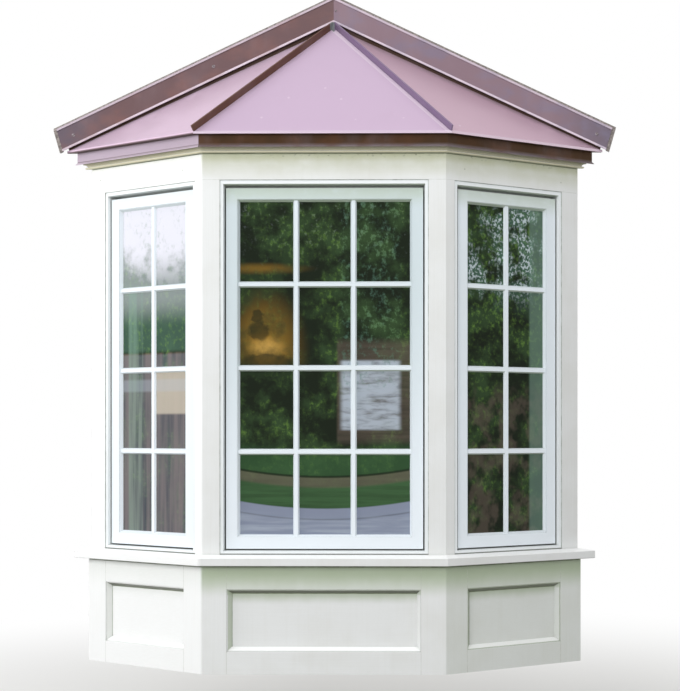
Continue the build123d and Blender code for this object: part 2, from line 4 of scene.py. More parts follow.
import bmesh
import bpy
from bpy.props import FloatProperty, FloatVectorProperty, PointerProperty
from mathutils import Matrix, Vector


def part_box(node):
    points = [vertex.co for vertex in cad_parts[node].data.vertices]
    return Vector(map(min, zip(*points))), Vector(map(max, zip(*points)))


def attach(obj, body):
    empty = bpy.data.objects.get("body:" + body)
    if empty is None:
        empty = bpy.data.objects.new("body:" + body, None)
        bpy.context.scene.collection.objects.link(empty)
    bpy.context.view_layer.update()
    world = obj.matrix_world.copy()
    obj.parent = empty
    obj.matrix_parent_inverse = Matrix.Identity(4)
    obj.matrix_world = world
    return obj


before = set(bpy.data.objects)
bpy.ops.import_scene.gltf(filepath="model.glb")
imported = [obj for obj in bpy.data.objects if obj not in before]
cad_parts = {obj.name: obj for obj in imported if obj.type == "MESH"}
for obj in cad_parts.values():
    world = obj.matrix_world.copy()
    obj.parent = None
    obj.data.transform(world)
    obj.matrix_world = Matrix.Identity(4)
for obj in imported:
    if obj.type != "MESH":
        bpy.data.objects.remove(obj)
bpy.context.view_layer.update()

bl_info = {
    "name": "Canted Bay Window",
    "version": (1, 1, 0),
    "blender": (4, 5, 0),
    "location": "View3D > Sidebar > Bay Window",
    "description": "Paints, glazes and details a hanging bay window with a folded metal roof",
    "category": "Object",
}

# Directions and sizes are as in the frame, in metres: X along the wall, -Y outwards, Z up
RIGHT = (1, 0, 0)
UP = (0, 0, 1)
DOWN = (0, 0, -1)

# Plan and levels of the bay
SPLAY = math.radians(30)
PROJECTION = 0.293
FRONT_HALF = 0.4475
GLASS_OUT = 0.26
SEAT_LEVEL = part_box("casing_front")[0].z
HEAD_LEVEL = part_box("casing_front")[1].z
BASE_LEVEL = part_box("apron_stiles_front")[0].z
SILL_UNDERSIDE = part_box("sill_front")[0].z
CORNICE_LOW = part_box("cornice_front")[0].z
FASCIA_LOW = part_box("fascia_flashing_front")[0].z
PAN_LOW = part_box("roof_pan_front")[0].z
PAN_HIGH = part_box("roof_pan_front")[1].z
PAN_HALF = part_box("roof_pan_front")[1].x
PANEL_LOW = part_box("apron_mouldings")[0].z
PANEL_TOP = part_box("apron_mouldings")[1].z

# Where the weather changes from the front to a flank: over 15 mm at the corner
CORNER_START = FRONT_HALF - 0.0075
CORNER_END = FRONT_HALF + 0.0075

# Where other faces stand, measured out of the apron's face, and the width of the mouldings round its panels
CASING_FACE = -0.006
FRAME_FACE = -0.009
PANEL_FACE = -0.019
MOULDING_WIDTH = 0.016


def spans(half, start, end):
    """Where a piece starts and ends on each face: about the front's middle, and from a flank's corner."""
    return ("front", -half, half), ("left", start, end), ("right", start, end)


SILL_SPANS = spans(FRONT_HALF, 0.0, 0.580)
FRIEZE_SPANS = spans(0.4455, 0.004, 0.570)
WINDOW_SPANS = spans(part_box("window_frame_front")[1].x, 0.0376, 0.5041)
PANEL_SPANS = spans(0.3555, 0.088, 0.494)

# Rake flashing: where its low edge starts and where it meets the peak, its height square to the slope, how
# far its face stands out of the wall, and the height of its hems
FLASHING_FOOT_X = 1.0518
FLASHING_FOOT_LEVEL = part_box("rake_flashing_right")[0].z
FLASHING_PEAK_LEVEL = 2.1309
FLASHING_HEIGHT = 0.087
FLASHING_FACE = 0.014
FLASHING_HEM = 0.0075
RAKE = math.atan2(FLASHING_PEAK_LEVEL - FLASHING_FOOT_LEVEL, FLASHING_FOOT_X)


def srgb(code):
    """Linear red, green and blue of an sRGB hex colour."""
    values = [int(code[i:i + 2], 16) / 255 for i in (0, 2, 4)]
    return tuple(v / 12.92 if v <= 0.04045 else ((v + 0.055) / 1.055) ** 2.4 for v in values)


def colour_property(name, description, code):
    return FloatVectorProperty(name=name, description=description, default=srgb(code), subtype="COLOR",
                               size=3, min=0, max=1)


def power_property(name, description, watts):
    return FloatProperty(name=name, description=description, default=watts, min=0, unit="POWER")


class BayTrimSettings(bpy.types.PropertyGroup):
    boards: colour_property("Boards", "Gloss paint on the casings, frieze, sill and apron", "E6E8E8")
    sashes: colour_property("Sashes", "Enamel on the sashes and muntins", "ECF4FB")
    # A dull film on the sashes that also stands for painted shade: the sashes are painted darker high up
    haze: colour_property("Haze", "Dull film on the sashes, thicker near the head", "C4D2D6")
    frames: colour_property("Frames", "Enamel on the window frames", "ECF1F3")
    # The cornice's paint is darker and yellower than the boards, partly as painted shade of the overhang
    cornice: colour_property("Cornice", "Yellowed paint on the cornice", "D4CFB2")
    # Green film that grows under the sill, which also stands for painted shade under ledges and on faces away
    # from the light
    algae_and_shade: colour_property("Algae", "Film that grows under the sill", "A3B392")
    moss: colour_property("Moss", "Older film that grows under the cornice", "A8AC7E")
    # Paler paint on the faces that look up and on the whole left flank: rain-cleaned paint, and painted light
    # where the sun falls
    washed_and_lit: colour_property("Washed", "Paint on ledges that the rain keeps clean", "FAFBFB")
    grime: colour_property("Grime", "Dust held in the paint", "C2C0B2")
    # Dark grime for joints, inner corners and faces that look down, which there also stands for painted shade
    dirt_and_shade: colour_property("Dirt", "Dirt that gathers in the joints and inner corners", "6B7061")
    algae_amount: FloatProperty(name="Algae amount", description="How much of the films covers the paint",
                                default=0.9, min=0, max=1, subtype="FACTOR")
    brush_spacing: FloatProperty(name="Brush spacing", description="Distance between brush marks",
                                 default=0.003, min=0.0005, max=0.02, unit="LENGTH")


class BayMetalSettings(bpy.types.PropertyGroup):
    # The three pans are one copper with painted reflection: lilac where it would show a pale sky, the left
    # slope a lit copy and the right a shaded one
    pan_front: colour_property("Front pan", "Copper on the front slope", "C9B2CA")
    pan_left: colour_property("Left pan", "Copper on the left slope", "DCC3D7")
    pan_right: colour_property("Right pan", "Copper on the right slope", "CEB0C0")
    # Brown on the left seam and mauve on the right: painted reflection of the ground and of the sky
    seam_left: colour_property("Left seam", "Standing seam on the left hip", "69493C")
    seam_right: colour_property("Right seam", "Standing seam on the right hip", "8C7896")
    solder: colour_property("Solder", "Solder over the seams at the peak", "96A0A0")
    # The fascia's dark brown front and right and its pale left face are one copper with painted reflection:
    # the dark ground, and a lit pale side
    fascia: colour_property("Fascia", "Fascia flashing on the front and right", "3E2810")
    fascia_warm: colour_property("Fascia patches", "Warmer patches on the fascia flashing", "5C3A22")
    fascia_left: colour_property("Left fascia", "Fascia flashing on the left, in the light", "B9A9B8")
    # The two rake flashings differ as painted reflection: the right one shows more sky
    flashing_left: colour_property("Left flashing", "Rake flashing left of the peak", "6E5658")
    flashing_right: colour_property("Right flashing", "Rake flashing right of the peak", "8C757F")
    red_bloom: colour_property("Red bloom", "Reddish oxide patches on the left", "8E645C")
    blue_bloom: colour_property("Blue bloom", "Bluish oxide patches on the right", "7F7A92")
    # The upstands are painted dark as painted shade under the flashing's hem
    upstands: colour_property("Upstands", "Upturned edges of the pans under the rake flashing", "4A372F")
    slate: colour_property("Slate", "Duller skin at the far ends of the rake flashing", "66606E")
    # Bright hems and lip lines are painted highlight, and this tone also gives water stains and specks; the
    # dull hem is a paler band painted on the dark fascia's fold as a painted sheen
    hem: colour_property("Hems", "Rubbed folds along the flashings' edges", "E2D3E0")
    hem_dull: colour_property("Dull hems", "Folds that nothing rubs", "A9A0A8")
    dent_depth: FloatProperty(name="Dent depth", description="Depth of the waves in the sheet",
                              default=0.0006, min=0, max=0.004, unit="LENGTH")


# Every colour here is painted into the glass: painted reflection of leaves, sky, walls, lawn and paving, and
# a painted lamp glow
class BayGlassSettings(bpy.types.PropertyGroup):
    shade: colour_property("Shade", "Glass before a dark room", "1B2318")
    foliage: colour_property("Foliage", "Green of a clump of leaves seen in the panes", "34492D")
    leaf: colour_property("Leaf", "Leaves that catch the light", "6E9442")
    gaps: colour_property("Gaps", "Bright gaps between the leaves", "D3DFE6")
    sky: colour_property("Sky", "Pale sky seen in the left window", "E4E4EE")
    haze: colour_property("Haze", "Distant trees seen in the left window", "557867")
    lamp_glow: colour_property("Lamp glow", "Warm light deep in the room", "A27A2C")
    stucco: colour_property("Stucco", "Warm pale wall seen in the left window", "C2B8A8")
    lamp: colour_property("Lamp", "The lamp itself, just out of the dark", "D8AE5C")
    pale_wall: colour_property("Pale wall", "Pale stone seen across the garden", "AEB8C4")
    bare_earth: colour_property("Bare earth", "Brown earth at the garden's far side", "74665C")
    lawn: colour_property("Lawn", "Grass seen in the lowest panes", "3A5E3B")
    paving: colour_property("Paving", "Blue-grey paving seen in the lowest panes", "8990A6")
    reveal: colour_property("Reveal", "Pale green edge of the lining beside the flank windows", "86A696")


class BayStageSettings(bpy.types.PropertyGroup):
    key: power_property("Key", "Power of the large lamp on the left", 110)
    front: power_property("Front", "Power of the large lamp before the bay", 105)
    fill: power_property("Fill", "Power of the large lamp at the front right", 38)
    top: power_property("Top", "Power of the large lamp overhead", 50)
    back: power_property("Back", "Power of the large lamp on the room side", 70)
    sky: FloatProperty(name="Sky", description="Strength of the even light from all round",
                       default=0.44, min=0)
    floor_drop: FloatProperty(name="Floor drop", description="Height of the bay over the floor",
                              default=0.40, min=0, unit="LENGTH")


SETTINGS = {
    "bay_trim": BayTrimSettings,
    "bay_metal": BayMetalSettings,
    "bay_glass": BayGlassSettings,
    "bay_stage": BayStageSettings,
}


# Every mask eases in and out
SMOOTH = {"interpolation_type": "SMOOTHSTEP"}


def add_node(tree, kind, settings=None, inputs=None):
    """Adds one shader node with its settings; an input is a value, or the socket that feeds it."""
    node = tree.nodes.new("ShaderNode" + kind)
    for key, value in (settings or {}).items():
        setattr(node, key, value)
    for key, value in (inputs or {}).items():
        if isinstance(value, bpy.types.NodeSocket):
            tree.links.new(value, node.inputs[key])
        else:
            node.inputs[key].default_value = value
    return node


def start_material(name, roughness, metallic=0.0, **constants):
    """A new material with its shader; numbers that are the same all over stay on the shader's sockets."""
    material = bpy.data.materials.new(name)
    material.use_nodes = True
    tree = material.node_tree
    tree.nodes.clear()
    shader = add_node(tree, "BsdfPrincipled", None, {"Metallic": metallic, "Roughness": roughness})
    for key, value in constants.items():
        shader.inputs[key.replace("_", " ")].default_value = value
    add_node(tree, "OutputMaterial", None, {"Surface": shader.outputs[0]})
    place = add_node(tree, "TexCoord").outputs["Object"]
    return material, tree, shader, place


def cloud(tree, place, per_metre, detail=3.0, roughness=0.55, low=0.35, high=0.65):
    """Cloudy mask from 0 to 1 with so many patches per metre along each axis."""
    steps = add_node(tree, "VectorMath", {"operation": "MULTIPLY"}, {0: place, 1: per_metre})
    texture = add_node(tree, "TexNoise", None, {
        "Vector": steps.outputs[0], "Scale": 1.0, "Detail": detail, "Roughness": roughness})
    return add_node(tree, "MapRange", SMOOTH, {
        "Value": texture.outputs[0], "From Min": low, "From Max": high}).outputs[0]


def rise(tree, place, direction, start, end, least=0.0):
    """Mask that grows from least at start to 1 at end, which are distances along a direction."""
    reach = add_node(tree, "VectorMath", {"operation": "DOT_PRODUCT"}, {0: place, 1: direction})
    return add_node(tree, "MapRange", SMOOTH, {
        "Value": reach.outputs["Value"], "From Min": start, "From Max": end, "To Min": least}).outputs[0]


def band(tree, place, direction, low, high, soft=0.006):
    """Mask between two distances along a direction, with soft edges."""
    entered = rise(tree, place, direction, low - soft, low + soft)
    kept = rise(tree, place, direction, high + soft, high - soft)
    return add_node(tree, "Math", {"operation": "MULTIPLY"}, {0: entered, 1: kept}).outputs[0]


def spot(tree, place, centre, radii, soft):
    """Oval mask on the front glass, round its (along, level) centre, that fades over part of its radii."""
    away = add_node(tree, "VectorMath", {"operation": "SUBTRACT"}, {
        0: place, 1: (centre[0], -GLASS_OUT, centre[1])}).outputs[0]
    steps = add_node(tree, "VectorMath", {"operation": "DIVIDE"}, {
        0: away, 1: (radii[0], 0.2, radii[1])}).outputs[0]
    far = add_node(tree, "VectorMath", {"operation": "LENGTH"}, {0: steps}).outputs["Value"]
    return add_node(tree, "MapRange", SMOOTH, {
        "Value": far, "From Min": 1.0, "From Max": 1.0 - soft}).outputs[0]


def occluded_creases(tree, reach):
    """Mask of the inner corners within a reach, found by ambient occlusion, for grime held there and painted
    shade.
    """
    open_air = add_node(tree, "AmbientOcclusion", {"samples": 6}, {"Distance": reach}).outputs["AO"]
    return add_node(tree, "MapRange", SMOOTH, {
        "Value": open_air, "From Min": 0.85, "From Max": 0.30}).outputs[0]


def facing(tree, direction):
    """Mask of the faces that look in a direction. The faces that look down or away from the sun are painted
    darker with it, grime and painted shade, and those that look up paler, rain-cleaned paint and painted
    light.
    """
    normal = add_node(tree, "NewGeometry").outputs["Normal"]
    return rise(tree, normal, direction, 0.2, 0.7)


def lay(tree, colour, *layers):
    """Lays colours over one another, each as (colour, amount, any masks), where all of its masks meet."""
    for over, amount, *masks in layers:
        for mask in masks:
            amount = add_node(tree, "Math", {"operation": "MULTIPLY"}, {0: mask, 1: amount}).outputs[0]
        under, over = [c if isinstance(c, bpy.types.NodeSocket) else (*c, 1.0) for c in (colour, over)]
        colour = add_node(tree, "Mix", {"data_type": "RGBA"}, {0: amount, 6: under, 7: over}).outputs[2]
    return colour


def cover(tree, shader, colour, *bumps):
    """Gives a shader its colour and its bumps, each a mask and the height in metres that it stands for."""
    tree.links.new(colour, shader.inputs["Base Color"])
    under = {}
    for mask, height in bumps:
        bump = add_node(tree, "Bump", None, {"Height": mask, "Distance": height, **under})
        tree.links.new(bump.outputs[0], shader.inputs["Normal"])
        under = {"Normal": bump.outputs[0]}


def dress(material, *names):
    """Puts a material on CAD nodes, whose shape stays as it is."""
    for name in names:
        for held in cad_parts[name].material_slots:
            held.material = material


def sides(name, *which):
    """The names of a part's nodes on the faces given, or on all three."""
    return [f"{name}_{side}" for side in which or ("front", "left", "right")]


def make_object(name, mesh, material):
    """Turns a bmesh into a named object."""
    data = bpy.data.meshes.new(name)
    mesh.to_mesh(data)
    mesh.free()
    data.materials.append(material)
    made = bpy.data.objects.new(name, data)
    bpy.context.scene.collection.objects.link(made)
    return made


def new_piece(name, mesh, material, smooth=False):
    """Adds a piece of the bay, which rides on its one body."""
    bmesh.ops.recalc_face_normals(mesh, faces=mesh.faces)
    piece = make_object(name, mesh, material)
    if smooth:
        piece.data.shade_smooth()
    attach(piece, "root")


def face_point(side, along, level, out):
    """A point on a face, along it from the front's middle or a flank's corner, at a level, and out of it."""
    if side == "front":
        return Vector((along, -PROJECTION - out, level))
    x = FRONT_HALF + along * math.cos(SPLAY) + out * math.sin(SPLAY)
    y = -PROJECTION + along * math.sin(SPLAY) - out * math.cos(SPLAY)
    return Vector((x if side == "right" else -x, y, level))


def rake_point(side, along, up, out):
    """A point on the rake flashing: along the slope from its foot, square to it, and out from the wall."""
    x = FLASHING_FOOT_X - along * math.cos(RAKE) + up * math.sin(RAKE)
    z = FLASHING_FOOT_LEVEL + along * math.sin(RAKE) + up * math.cos(RAKE)
    return Vector((x if side == "right" else -x, -out, z))


def add_bar(mesh, side, low, high, face=0.0, proud=0.00015):
    """A closed flat bar between two (along, level) corners, let 1 mm into a face and a little proud."""
    corners = [face_point(side, along, level, out)
               for out in (face - 0.001, face + proud)
               for along, level in (low, (high[0], low[1]), high, (low[0], high[1]))]
    made = [mesh.verts.new(c) for c in corners]
    back, front = made[:4], made[4:]
    mesh.faces.new(back)
    mesh.faces.new(list(reversed(front)))
    for i in range(4):
        j = (i + 1) % 4
        mesh.faces.new((back[i], front[i], front[j], back[j]))


def add_turned(mesh, centre, axis, profile, steps=24):
    """A closed turned shape, whose profile points are (radius, height) from its base to its tip."""
    turn = axis.normalized().to_track_quat("Z", "Y").to_matrix()
    angles = [2 * math.pi * k / steps for k in range(steps)]
    rings = [[mesh.verts.new(centre + turn @ Vector((radius * math.cos(a), radius * math.sin(a), height)))
              for a in angles] for radius, height in profile[:-1]]
    tip = mesh.verts.new(centre + turn @ Vector((0, 0, profile[-1][1])))
    mesh.faces.new(list(reversed(rings[0])))
    for k in range(steps):
        n = (k + 1) % steps
        for low, high in zip(rings, rings[1:]):
            mesh.faces.new((low[k], low[n], high[n], high[k]))
        mesh.faces.new((rings[-1][k], rings[-1][n], tip))


def painted_boards(name, trim, upright, films, paint=None, spots=(), under=0.60, away_shade=0.0):
    """Alkyd gloss paint brushed on planed pine, some years old.

    It gives the eye a soft white film with faint brush marks along each board, a little held dust, grime and
    painted shade in the inner corners, and a green film where a ledge keeps it moist, which also stands for
    painted shade under the ledges. It is thin on the sunny left flank, which is painted paler as painted
    light.
    films are the bands of that green, each with the level where it starts, the level where it is full, its
    colour and its amount. spots are the same for specks of mould about 8 mm across. under is how dark the
    faces are painted that look down, grime and painted shade, and away_shade how green the small faces are
    painted that look away from the sun, as painted shade.
    """
    material, tree, shader, place = start_material(name, 0.42, Coat_Weight=0.25, Coat_Roughness=0.25)
    # A brush mark is 60 times as long as the marks are apart
    step = 1 / trim.brush_spacing
    run = step / 60
    brush = cloud(tree, place, (step, step, run) if upright else (run, step / 4, step),
                  detail=2.0, low=0.3, high=0.7)
    # Dust settles in patches 0.2 m across and in streaks 12 mm wide that run down the boards
    patches = cloud(tree, place, (5, 5, 5), detail=4.0, low=0.38, high=0.7)
    streaks = cloud(tree, place, (80, 80, 2.5), low=0.45, high=0.8)
    shady = rise(tree, place, RIGHT, -CORNER_END, -CORNER_START, least=0.12)
    left_flank = rise(tree, place, RIGHT, -CORNER_START, -CORNER_END)
    right_flank = rise(tree, place, RIGHT, CORNER_START, CORNER_END)
    apron = rise(tree, place, UP, SILL_UNDERSIDE + 0.001, SILL_UNDERSIDE - 0.001)
    # The sunlit left flank is painted paler all over: painted light
    colour = lay(tree, trim.boards, (trim.washed_and_lit, 0.65, left_flank)) if paint is None else paint
    # The apron's right flank sees the least sun and is painted a little greener all over: painted shade
    colour = lay(tree, colour,
                 (trim.grime, 0.14, patches, shady),
                 (trim.grime, 0.06, streaks, shady),
                 (trim.grime, 0.05, brush),
                 (trim.algae_and_shade, 0.16, right_flank, apron))
    # The film's edge runs 8 mm lower where the rain carries it down
    runs = cloud(tree, place, (14, 14, 5), detail=2.0, low=0.2, high=0.8)
    carried = add_node(tree, "VectorMath", {"operation": "MULTIPLY_ADD"},
                       {0: runs, 1: (0, 0, 0.008), 2: place}).outputs[0]
    uneven = cloud(tree, place, (16, 16, 24), detail=4.0, low=0.1, high=0.7)
    for start, full, tone, amount in films:
        film = rise(tree, carried, UP, start, full)
        colour = lay(tree, colour,
                     (tone, amount * trim.algae_amount, film, shady),
                     (tone, 0.22 * trim.algae_amount, film, uneven, shady))
    for start, full, tone, amount in spots:
        dots = cloud(tree, place, (70, 70, 130), detail=2.0, low=0.60, high=0.70)
        colour = lay(tree, colour, (tone, amount, dots, rise(tree, place, UP, start, full), shady))
    # Faces that look up are painted paler: rain-cleaned paint and a painted highlight from above
    colour = lay(tree, colour, (trim.washed_and_lit, 0.9, facing(tree, UP)))
    # Faces that look down are painted darker, grime and painted shade; the small faces that look away from
    # the sun are painted greener as painted shade
    if away_shade:
        colour = lay(tree, colour, (trim.dirt_and_shade, under, facing(tree, DOWN)),
                     (trim.algae_and_shade, away_shade, facing(tree, RIGHT)))
    else:
        colour = lay(tree, colour, (trim.dirt_and_shade, under, facing(tree, DOWN), shady))
    # Inner corners are painted darker: grime held there and painted shade
    colour = lay(tree, colour, (trim.dirt_and_shade, 0.55, occluded_creases(tree, 0.022)))
    dulled = add_node(tree, "MapRange", None, {"Value": patches, "To Min": 0.36, "To Max": 0.55})
    tree.links.new(dulled.outputs[0], shader.inputs["Roughness"])
    boards = cloud(tree, place, (3, 3, 3), detail=1.0, low=0.2, high=0.8)
    cover(tree, shader, colour, (boards, 0.0008), (brush, 0.00008))
    return material


def enamelled_wood(name, trim, paint, damp_shade_levels, haze=0.0):
    """Sprayed enamel on machined softwood, factory made.

    It gives the eye a cool even white with a fine orange peel, cleaner and smoother than the boards. haze is
    how much of it a dull film covers high up, and damp_shade_levels the two levels over which it turns
    grey-green; both stand partly for painted shade under the head.
    """
    material, tree, shader, place = start_material(name, 0.3, Coat_Weight=0.4, Coat_Roughness=0.15)
    patches = cloud(tree, place, (4, 4, 4), low=0.4, high=0.75)
    # The haze and the grey-green, partly painted shade, are thin on the left flank, which sees the most sun;
    # the haze is thin on the right flank too
    shady = rise(tree, place, RIGHT, -CORNER_END, -CORNER_START, least=0.2)
    not_right_flank = rise(tree, place, RIGHT, CORNER_END + 0.015, CORNER_END, least=0.2)
    high_up = rise(tree, place, UP, SEAT_LEVEL + 0.04, HEAD_LEVEL - 0.3)
    uneven = cloud(tree, place, (20, 20, 40), low=-0.3, high=0.6)
    colour = lay(tree, paint,
                 (trim.grime, 0.06, patches),
                 (trim.haze, haze, shady, not_right_flank, high_up),
                 (trim.algae_and_shade, 0.50, rise(tree, place, UP, *damp_shade_levels), uneven, shady),
                 # Faces that look down are painted greener and darker: green film and painted shade
                 (trim.algae_and_shade, 0.60, facing(tree, DOWN), shady),
                 # Inner corners painted darker: grime and painted shade
                 (trim.dirt_and_shade, 0.55, occluded_creases(tree, 0.014)))
    # Orange peel is about 1 mm across in life; it is drawn at 4 mm to show
    peel = cloud(tree, place, (250, 250, 250), detail=1.0, low=0.2, high=0.8)
    cover(tree, shader, colour, (peel, 0.00003))
    return material


def weathered_copper(name, metal, tones, gloss=0.42, marks=0.0, bloom=()):
    """Cold rolled copper sheet, folded by hand and browned by the weather.

    It gives the eye a dull brown metal over the long shallow waves of thin sheet, with oxide patches, water
    marks and a few pale specks. Its colours hold painted reflection: mauve where it would show the sky, dark
    brown where it would show the ground, and hems painted bright as a painted highlight. About half of the
    light meets the oxide skin and not the metal. tones is a function that lays the colours of its own folds
    and faces, bloom the colour and amount of the oxide patches, and marks the amount of the specks.
    """
    material, tree, shader, place = start_material(name, gloss, metallic=0.5)
    colour = tones(tree, place)
    if bloom:
        blots = cloud(tree, place, (9, 9, 14), detail=4.0, low=0.42, high=0.68)
        colour = lay(tree, colour, (*bloom, blots))
    stains = cloud(tree, place, (9, 9, 4), detail=5.0, low=0.45, high=0.8)
    colour = lay(tree, colour, (metal.hem, 0.08, stains))
    if marks:
        # Specks left by birds and water, one in each 70 mm or so and 8 mm across
        steps = add_node(tree, "VectorMath", {"operation": "MULTIPLY"}, {0: place, 1: (14, 14, 14)})
        specks = add_node(tree, "TexVoronoi", None, {"Vector": steps.outputs[0], "Scale": 1.0})
        dots = add_node(tree, "MapRange", None, {
            "Value": specks.outputs["Distance"], "From Min": 0.085, "From Max": 0.045}).outputs[0]
        colour = lay(tree, colour, (metal.hem, marks, dots))
    dulled = add_node(tree, "MapRange", None, {"Value": stains, "To Min": gloss, "To Max": gloss + 0.2})
    tree.links.new(dulled.outputs[0], shader.inputs["Roughness"])
    # The sheet's waves are 0.3 m across and its dents 45 mm
    waves = cloud(tree, place, (3.5, 3.5, 5), detail=1.0, low=0.2, high=0.8)
    dents = cloud(tree, place, (22, 22, 22), detail=1.0, low=0.3, high=0.8)
    cover(tree, shader, colour, (waves, metal.dent_depth * 2), (dents, metal.dent_depth * 0.25))
    return material


def bare_wood(name, code, dark_code, per_metre):
    """Planed or peeled softwood with no finish.

    It gives the eye pale straw wood with darker growth lines along the grain, 5 to 15 mm apart.
    """
    material, tree, shader, place = start_material(name, 0.6)
    bend = add_node(tree, "TexNoise", None, {"Vector": place, "Scale": 2.0})
    bent = add_node(tree, "Mix", {"data_type": "VECTOR"}, {0: 0.04, 4: place, 5: bend.outputs[1]})
    rings = cloud(tree, bent.outputs[1], per_metre, high=0.7)
    patches = cloud(tree, place, (6, 6, 6), low=0.3, high=0.8)
    colour = lay(tree, srgb(code), (srgb(dark_code), 1.0, rings), (srgb(dark_code), 0.3, patches))
    cover(tree, shader, colour, (rings, 0.0002))
    return material


def joint_filler(name, roughness, code, patch_code, per_metre, detail=3.0, low=0.3, high=0.7, lumps=0.0,
                 dark_foot=()):
    """Sealant, caulk, or grime with painted shadow in a joint, which gives the eye a matt line in two tones.

    dark_foot holds the levels where a darker tone starts and is full, and that tone. lumps is the patches'
    height.
    """
    material, tree, shader, place = start_material(name, roughness)
    patches = cloud(tree, place, (per_metre, per_metre, per_metre), detail=detail, low=low, high=high)
    colour = lay(tree, srgb(code), (srgb(patch_code), 1.0, patches))
    if dark_foot:
        start, full, dark_foot_code = dark_foot
        colour = lay(tree, colour, (srgb(dark_foot_code), 0.85, rise(tree, place, UP, start, full)))
    cover(tree, shader, colour, *([(patches, lumps)] if lumps else []))
    return material


class BAY_OT_paint_boards(bpy.types.Operator):
    """Paints the casings, frieze, cornice, sill and apron"""
    bl_idname = "bay.paint_boards"
    bl_label = "Paint Boards"

    def execute(self, context):
        trim = context.scene.bay_trim
        # Green bands under the sill and at the panels' tops: green film, and painted shade under the ledges
        # over them
        under_sill = [(SILL_UNDERSIDE - 0.12, SILL_UNDERSIDE - 0.020, trim.algae_and_shade, 0.90)]
        under_bed = [(CORNICE_LOW - 0.10, CORNICE_LOW - 0.03, trim.moss, 0.30),
                     (CORNICE_LOW - 0.035, CORNICE_LOW - 0.006, trim.moss, 0.45)]
        in_panel = [(PANEL_TOP - 0.055, PANEL_TOP - 0.006, trim.algae_and_shade, 0.75)]
        top_bead = [(PANEL_TOP - 0.022, PANEL_TOP - 0.012, trim.algae_and_shade, 0.45)]
        mould = [(CORNICE_LOW - 0.022, CORNICE_LOW - 0.004, trim.dirt_and_shade, 0.7)]
        for boards, upright, nodes, films, looks in (
            ("stiles", True, sides("apron_stiles"), under_sill, {}),
            ("rails", False, ["apron_rails"], under_sill, {}),
            ("panels", False, sides("apron_panel"), in_panel, {}),
            ("mouldings", False, ["apron_mouldings"], top_bead, {"under": 1.0, "away_shade": 0.6}),
            ("casings", True, sides("casing"), [], {}),
            ("sill", False, sides("sill"), [], {}),
            ("frieze", False, sides("frieze"), under_bed, {"spots": mould}),
            # The cornice is painted darker all over, partly as painted shade of the overhang
            ("cornice", False, sides("cornice"), [], {"paint": trim.cornice, "under": 0.30}),
        ):
            dress(painted_boards(f"gloss_paint_{boards}", trim, upright, films, **looks), *nodes)
        return {"FINISHED"}


class BAY_OT_paint_sashes(bpy.types.Operator):
    """Enamels the window frames, sashes and muntin grilles"""
    bl_idname = "bay.paint_sashes"
    bl_label = "Paint Sashes"

    def execute(self, context):
        trim = context.scene.bay_trim
        # The sashes turn grey-green from 110 mm under the head, fully at 30 mm: green film and painted shade
        # of the head
        head = (HEAD_LEVEL - 0.11, HEAD_LEVEL - 0.03)
        dry = (HEAD_LEVEL, HEAD_LEVEL + 1)
        dress(enamelled_wood("sprayed_enamel_frames", trim, trim.frames, dry), *sides("window_frame"))
        dress(enamelled_wood("sprayed_enamel_sashes", trim, trim.sashes, head, haze=0.80), *sides("sash"))
        dress(enamelled_wood("sprayed_enamel_muntins", trim, trim.sashes, dry, haze=0.45), "grilles")
        return {"FINISHED"}


class BAY_OT_finish_roof(bpy.types.Operator):
    """Finishes the roof pans and the standing seams on the hips"""
    bl_idname = "bay.finish_roof"
    bl_label = "Finish Roof"

    def execute(self, context):
        metal = context.scene.bay_metal

        def pan_tones(colour, side):
            # The lip carries a painted highlight, a bright line, but on the left it is painted dark as
            # painted shade
            lip, tone, amount = PAN_LOW + 0.010, metal.hem, 0.6
            if side == "left":
                lip, tone, amount = PAN_LOW + 0.004, metal.fascia, 0.75

            def lay_pan(tree, place):
                pan = lay(tree, colour, (tone, amount, rise(tree, place, UP, lip + 0.001, lip - 0.001)))
                if side != "front":
                    return pan
                # The front pan is bright in a line along the right seam
                slope = math.hypot(PAN_HALF, PAN_HIGH - PAN_LOW)
                outwards = ((PAN_HIGH - PAN_LOW) / slope, 0, PAN_HALF / slope)
                seam = PAN_HIGH * PAN_HALF / slope
                line = rise(tree, place, outwards, seam - 0.0105, seam - 0.009)
                return lay(tree, pan, (metal.hem, 0.6, line))
            return lay_pan

        def seam_tones(tree, place):
            joint = band(tree, place, RIGHT, -0.013, 0.004, 0.002)
            peak = rise(tree, place, UP, PAN_HIGH - 0.03, PAN_HIGH - 0.02)
            # The hips are brown on the left and mauve on the right, painted reflection of the ground and the
            # sky
            return lay(tree, metal.seam_left,
                       (metal.seam_right, 1.0, rise(tree, place, RIGHT, -0.01, 0.01)),
                       (metal.solder, 0.8, joint, peak))

        # Each slope gets its own colour: painted reflection of the sky, the left slope lit and the right one
        # shaded
        for side in ("front", "left", "right"):
            tones = pan_tones(getattr(metal, f"pan_{side}"), side)
            dress(weathered_copper(f"weathered_copper_pan_{side}", metal, tones, marks=0.5),
                  f"roof_pan_{side}")
        dress(weathered_copper("weathered_copper_seams", metal, seam_tones), "hip_seams")
        return {"FINISHED"}


